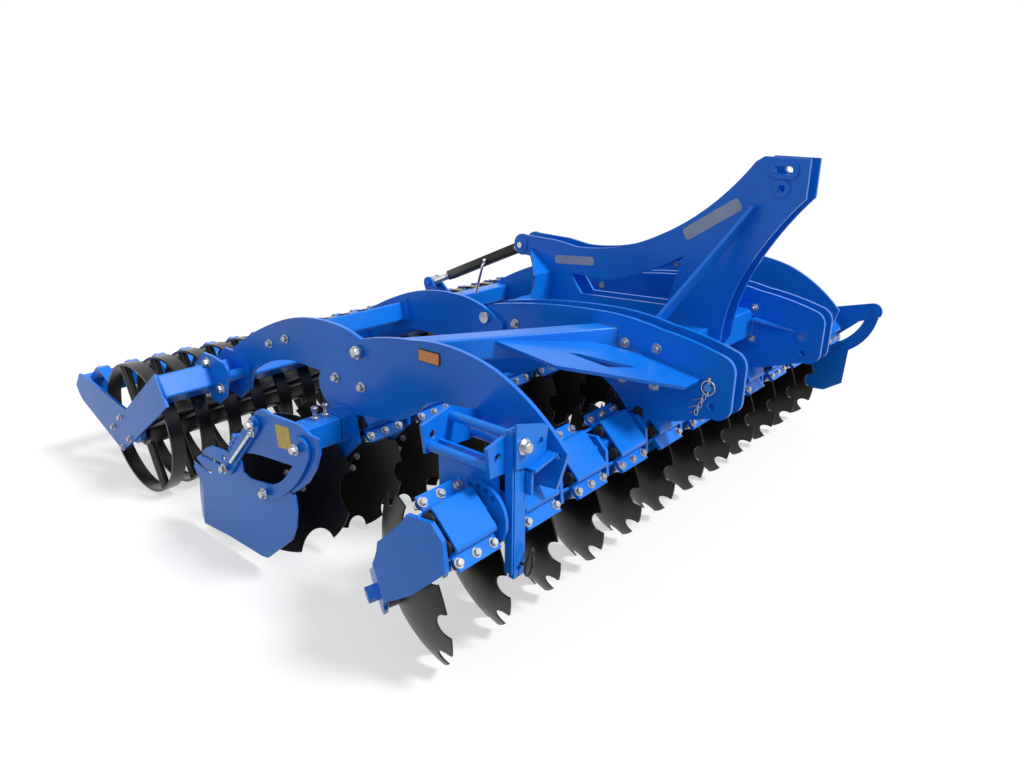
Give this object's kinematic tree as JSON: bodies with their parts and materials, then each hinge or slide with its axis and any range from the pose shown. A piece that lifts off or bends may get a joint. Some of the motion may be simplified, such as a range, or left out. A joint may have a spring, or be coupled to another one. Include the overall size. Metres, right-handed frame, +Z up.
{
  "type": "disc harrow",
  "caption": "Tractor-mounted compact disc harrow with two rows of notched discs on rubber-sprung arms, an arched frame, a mast, side deflectors and a cage roller",
  "frame": {"origin": "on the floor under the centre of the whole machine", "axes": "+X across the working width, +Y away from the tractor, +Z up"},
  "size_m": [3.15, 2.797, 1.465],
  "materials": {
    "blue_paint": "glossy azure powder coat",
    "blade_steel": "black-brown coated blade steel",
    "black_paint": "satin black paint",
    "rubber_black": "solid rubber cord",
    "bright_steel": "zinc-plated steel"
  },
  "bodies": {
    "frame": {"adjuster_plate": "blue_paint", "arms_front": "blue_paint", "arms_rear": "blue_paint", "beams": "blue_paint", "brace_tubes": "blue_paint", "clamp_caps": "blue_paint", "head_braces": "blue_paint", "head_tube": "blue_paint", "headstock": "blue_paint", "link_plates": "blue_paint", "pins": "bright_steel", "rear_brace": "blue_paint", "rubbers": "rubber_black", "side_plates": "blue_paint", "stand_bracket": "blue_paint"},
    "rear_section": {"rear_plates": "blue_paint", "cross_tubes": "blue_paint", "screw_clevis": "blue_paint", "roller_front_tube": "blue_paint", "roller_ends": "blue_paint", "scraper_bar": "blue_paint", "roller_brackets": "blue_paint"},
    "roller_body": {"roller": "black_paint"},
    "screw_tube": {"turnbuckle_tube": "blue_paint"},
    "screw_rod": {"turnbuckle_rod": "bright_steel"},
    "leg": {"stand_leg": "blue_paint"},
    "blade_front_01": {"disc_front_01": "blade_steel"},
    "blade_front_02": {"disc_front_02": "blade_steel"},
    "blade_front_03": {"disc_front_03": "blade_steel"},
    "blade_front_04": {"disc_front_04": "blade_steel"},
    "blade_front_05": {"disc_front_05": "blade_steel"},
    "blade_front_06": {"disc_front_06": "blade_steel"},
    "blade_front_07": {"disc_front_07": "blade_steel"},
    "blade_front_08": {"disc_front_08": "blade_steel"},
    "blade_front_09": {"disc_front_09": "blade_steel"},
    "blade_front_10": {"disc_front_10": "blade_steel"},
    "blade_front_11": {"disc_front_11": "blade_steel"},
    "blade_front_12": {"disc_front_12": "blade_steel"},
    "blade_rear_01": {"disc_rear_01": "blade_steel"},
    "blade_rear_02": {"disc_rear_02": "blade_steel"},
    "blade_rear_03": {"disc_rear_03": "blade_steel"},
    "blade_rear_04": {"disc_rear_04": "blade_steel"},
    "blade_rear_05": {"disc_rear_05": "blade_steel"},
    "blade_rear_06": {"disc_rear_06": "blade_steel"},
    "blade_rear_07": {"disc_rear_07": "blade_steel"},
    "blade_rear_08": {"disc_rear_08": "blade_steel"},
    "blade_rear_09": {"disc_rear_09": "blade_steel"},
    "blade_rear_10": {"disc_rear_10": "blade_steel"},
    "blade_rear_11": {"disc_rear_11": "blade_steel"},
    "blade_rear_12": {"disc_rear_12": "blade_steel"},
    "left_arm": {"deflector_left_arm": "blue_paint"},
    "left_lead": {"deflector_left_lead": "blue_paint"},
    "left_follow": {"deflector_left_follow": "blue_paint"},
    "left_sheet": {"deflector_left_sheet": "blue_paint"},
    "right_arm": {"deflector_right_arm": "blue_paint"},
    "right_lead": {"deflector_right_lead": "blue_paint"},
    "right_follow": {"deflector_right_follow": "blue_paint"},
    "right_sheet": {"deflector_right_sheet": "blue_paint"}
  },
  "joints": [
    {"name": "rear_tilt", "type": "hinge", "parent": "frame", "child": "rear_section", "pos_m": [-0.045, -0.3265, 0.818], "axis": [1, 0, 0], "range_deg": [-6, 8]},
    {"name": "roller_turn", "type": "hinge", "parent": "rear_section", "child": "roller_body", "pos_m": [-0.045, 0.8635, 0.29], "axis": [1, 0, 0], "continuous": true},
    {"name": "blade_front_01_turn", "type": "hinge", "parent": "frame", "child": "blade_front_01", "pos_m": [-1.42, -0.8515, 0.27048], "axis": [0.904, -0.4025, 0.1444], "continuous": true},
    {"name": "blade_front_02_turn", "type": "hinge", "parent": "frame", "child": "blade_front_02", "pos_m": [-1.17, -0.8515, 0.27048], "axis": [0.904, -0.4025, 0.1444], "continuous": true},
    {"name": "blade_front_03_turn", "type": "hinge", "parent": "frame", "child": "blade_front_03", "pos_m": [-0.92, -0.8515, 0.27048], "axis": [0.904, -0.4025, 0.1444], "continuous": true},
    {"name": "blade_front_04_turn", "type": "hinge", "parent": "frame", "child": "blade_front_04", "pos_m": [-0.67, -0.8515, 0.27048], "axis": [0.904, -0.4025, 0.1444], "continuous": true},
    {"name": "blade_front_05_turn", "type": "hinge", "parent": "frame", "child": "blade_front_05", "pos_m": [-0.42, -0.8515, 0.27048], "axis": [0.904, -0.4025, 0.1444], "continuous": true},
    {"name": "blade_front_06_turn", "type": "hinge", "parent": "frame", "child": "blade_front_06", "pos_m": [-0.17, -0.8515, 0.27048], "axis": [0.904, -0.4025, 0.1444], "continuous": true},
    {"name": "blade_front_07_turn", "type": "hinge", "parent": "frame", "child": "blade_front_07", "pos_m": [0.08, -0.8515, 0.27048], "axis": [0.904, -0.4025, 0.1444], "continuous": true},
    {"name": "blade_front_08_turn", "type": "hinge", "parent": "frame", "child": "blade_front_08", "pos_m": [0.33, -0.8515, 0.27048], "axis": [0.904, -0.4025, 0.1444], "continuous": true},
    {"name": "blade_front_09_turn", "type": "hinge", "parent": "frame", "child": "blade_front_09", "pos_m": [0.58, -0.8515, 0.27048], "axis": [0.904, -0.4025, 0.1444], "continuous": true},
    {"name": "blade_front_10_turn", "type": "hinge", "parent": "frame", "child": "blade_front_10", "pos_m": [0.83, -0.8515, 0.27048], "axis": [0.904, -0.4025, 0.1444], "continuous": true},
    {"name": "blade_front_11_turn", "type": "hinge", "parent": "frame", "child": "blade_front_11", "pos_m": [1.08, -0.8515, 0.27048], "axis": [0.904, -0.4025, 0.1444], "continuous": true},
    {"name": "blade_front_12_turn", "type": "hinge", "parent": "frame", "child": "blade_front_12", "pos_m": [1.33, -0.8515, 0.27048], "axis": [0.904, -0.4025, 0.1444], "continuous": true},
    {"name": "blade_rear_01_turn", "type": "hinge", "parent": "frame", "child": "blade_rear_01", "pos_m": [-1.323, -0.0305, 0.27048], "axis": [-0.904, -0.4025, 0.1444], "continuous": true},
    {"name": "blade_rear_02_turn", "type": "hinge", "parent": "frame", "child": "blade_rear_02", "pos_m": [-1.08, -0.0305, 0.27048], "axis": [-0.904, -0.4025, 0.1444], "continuous": true},
    {"name": "blade_rear_03_turn", "type": "hinge", "parent": "frame", "child": "blade_rear_03", "pos_m": [-0.83, -0.0305, 0.27048], "axis": [-0.904, -0.4025, 0.1444], "continuous": true},
    {"name": "blade_rear_04_turn", "type": "hinge", "parent": "frame", "child": "blade_rear_04", "pos_m": [-0.58, -0.0305, 0.27048], "axis": [-0.904, -0.4025, 0.1444], "continuous": true},
    {"name": "blade_rear_05_turn", "type": "hinge", "parent": "frame", "child": "blade_rear_05", "pos_m": [-0.33, -0.0305, 0.27048], "axis": [-0.904, -0.4025, 0.1444], "continuous": true},
    {"name": "blade_rear_06_turn", "type": "hinge", "parent": "frame", "child": "blade_rear_06", "pos_m": [-0.08, -0.0305, 0.27048], "axis": [-0.904, -0.4025, 0.1444], "continuous": true},
    {"name": "blade_rear_07_turn", "type": "hinge", "parent": "frame", "child": "blade_rear_07", "pos_m": [0.17, -0.0305, 0.27048], "axis": [-0.904, -0.4025, 0.1444], "continuous": true},
    {"name": "blade_rear_08_turn", "type": "hinge", "parent": "frame", "child": "blade_rear_08", "pos_m": [0.42, -0.0305, 0.27048], "axis": [-0.904, -0.4025, 0.1444], "continuous": true},
    {"name": "blade_rear_09_turn", "type": "hinge", "parent": "frame", "child": "blade_rear_09", "pos_m": [0.67, -0.0305, 0.27048], "axis": [-0.904, -0.4025, 0.1444], "continuous": true},
    {"name": "blade_rear_10_turn", "type": "hinge", "parent": "frame", "child": "blade_rear_10", "pos_m": [0.92, -0.0305, 0.27048], "axis": [-0.904, -0.4025, 0.1444], "continuous": true},
    {"name": "blade_rear_11_turn", "type": "hinge", "parent": "frame", "child": "blade_rear_11", "pos_m": [1.17, -0.0305, 0.27048], "axis": [-0.904, -0.4025, 0.1444], "continuous": true},
    {"name": "blade_rear_12_turn", "type": "hinge", "parent": "frame", "child": "blade_rear_12", "pos_m": [1.42, -0.0305, 0.27048], "axis": [-0.904, -0.4025, 0.1444], "continuous": true},
    {"name": "screw_swing", "type": "hinge", "parent": "frame", "child": "screw_tube", "pos_m": [-0.045, -0.1565, 1.042], "axis": [1, 0, 0], "range_deg": [-6.8, 9.06]},
    {"name": "screw_slide", "type": "slide", "parent": "screw_tube", "child": "screw_rod", "axis": [0, 0.9203, -0.3911], "range_m": [-0.0386, 0.02895]},
    {"name": "left_deflector_slide", "type": "slide", "parent": "frame", "child": "left_arm", "axis": [-1, 0, 0], "range_m": [0, 0.1]},
    {"name": "left_lead_swing", "type": "hinge", "parent": "left_arm", "child": "left_lead", "pos_m": [-1.492, -0.1435, 0.597], "axis": [1, 0, 0], "range_deg": [-8, 10]},
    {"name": "left_follow_swing", "type": "hinge", "parent": "left_arm", "child": "left_follow", "pos_m": [-1.492, -0.3965, 0.583], "axis": [1, 0, 0], "range_deg": [-8.2, 10.2]},
    {"name": "left_sheet_swing", "type": "hinge", "parent": "left_lead", "child": "left_sheet", "pos_m": [-1.492, 0.06928, 0.36882], "axis": [1, 0, 0], "range_deg": [-10.2, 8.2]},
    {"name": "right_deflector_slide", "type": "slide", "parent": "frame", "child": "right_arm", "axis": [1, 0, 0], "range_m": [0, 0.025]},
    {"name": "right_lead_swing", "type": "hinge", "parent": "right_arm", "child": "right_lead", "pos_m": [1.504, -1.2675, 0.623], "axis": [1, 0, 0], "range_deg": [-8, 8]},
    {"name": "right_follow_swing", "type": "hinge", "parent": "right_arm", "child": "right_follow", "pos_m": [1.504, -1.1075, 0.593], "axis": [1, 0, 0], "range_deg": [-8.2, 8.2]},
    {"name": "right_sheet_swing", "type": "hinge", "parent": "right_lead", "child": "right_sheet", "pos_m": [1.504, -1.1341, 0.40099], "axis": [1, 0, 0], "range_deg": [-8.2, 8.2]},
    {"name": "stand_slide", "type": "slide", "parent": "frame", "child": "leg", "axis": [0, 0, -1], "range_m": [0, 0.32]}
  ],
  "couplings": [
    {"joint": "screw_swing", "follows": "rear_tilt", "ratio": 1.11},
    {"joint": "screw_slide", "follows": "rear_tilt", "m_per_rad": -0.271},
    {"joint": "left_follow_swing", "follows": "left_lead_swing", "ratio": 1},
    {"joint": "left_sheet_swing", "follows": "left_lead_swing", "ratio": -1},
    {"joint": "right_follow_swing", "follows": "right_lead_swing", "ratio": 1},
    {"joint": "right_sheet_swing", "follows": "right_lead_swing", "ratio": -1}
  ]
}
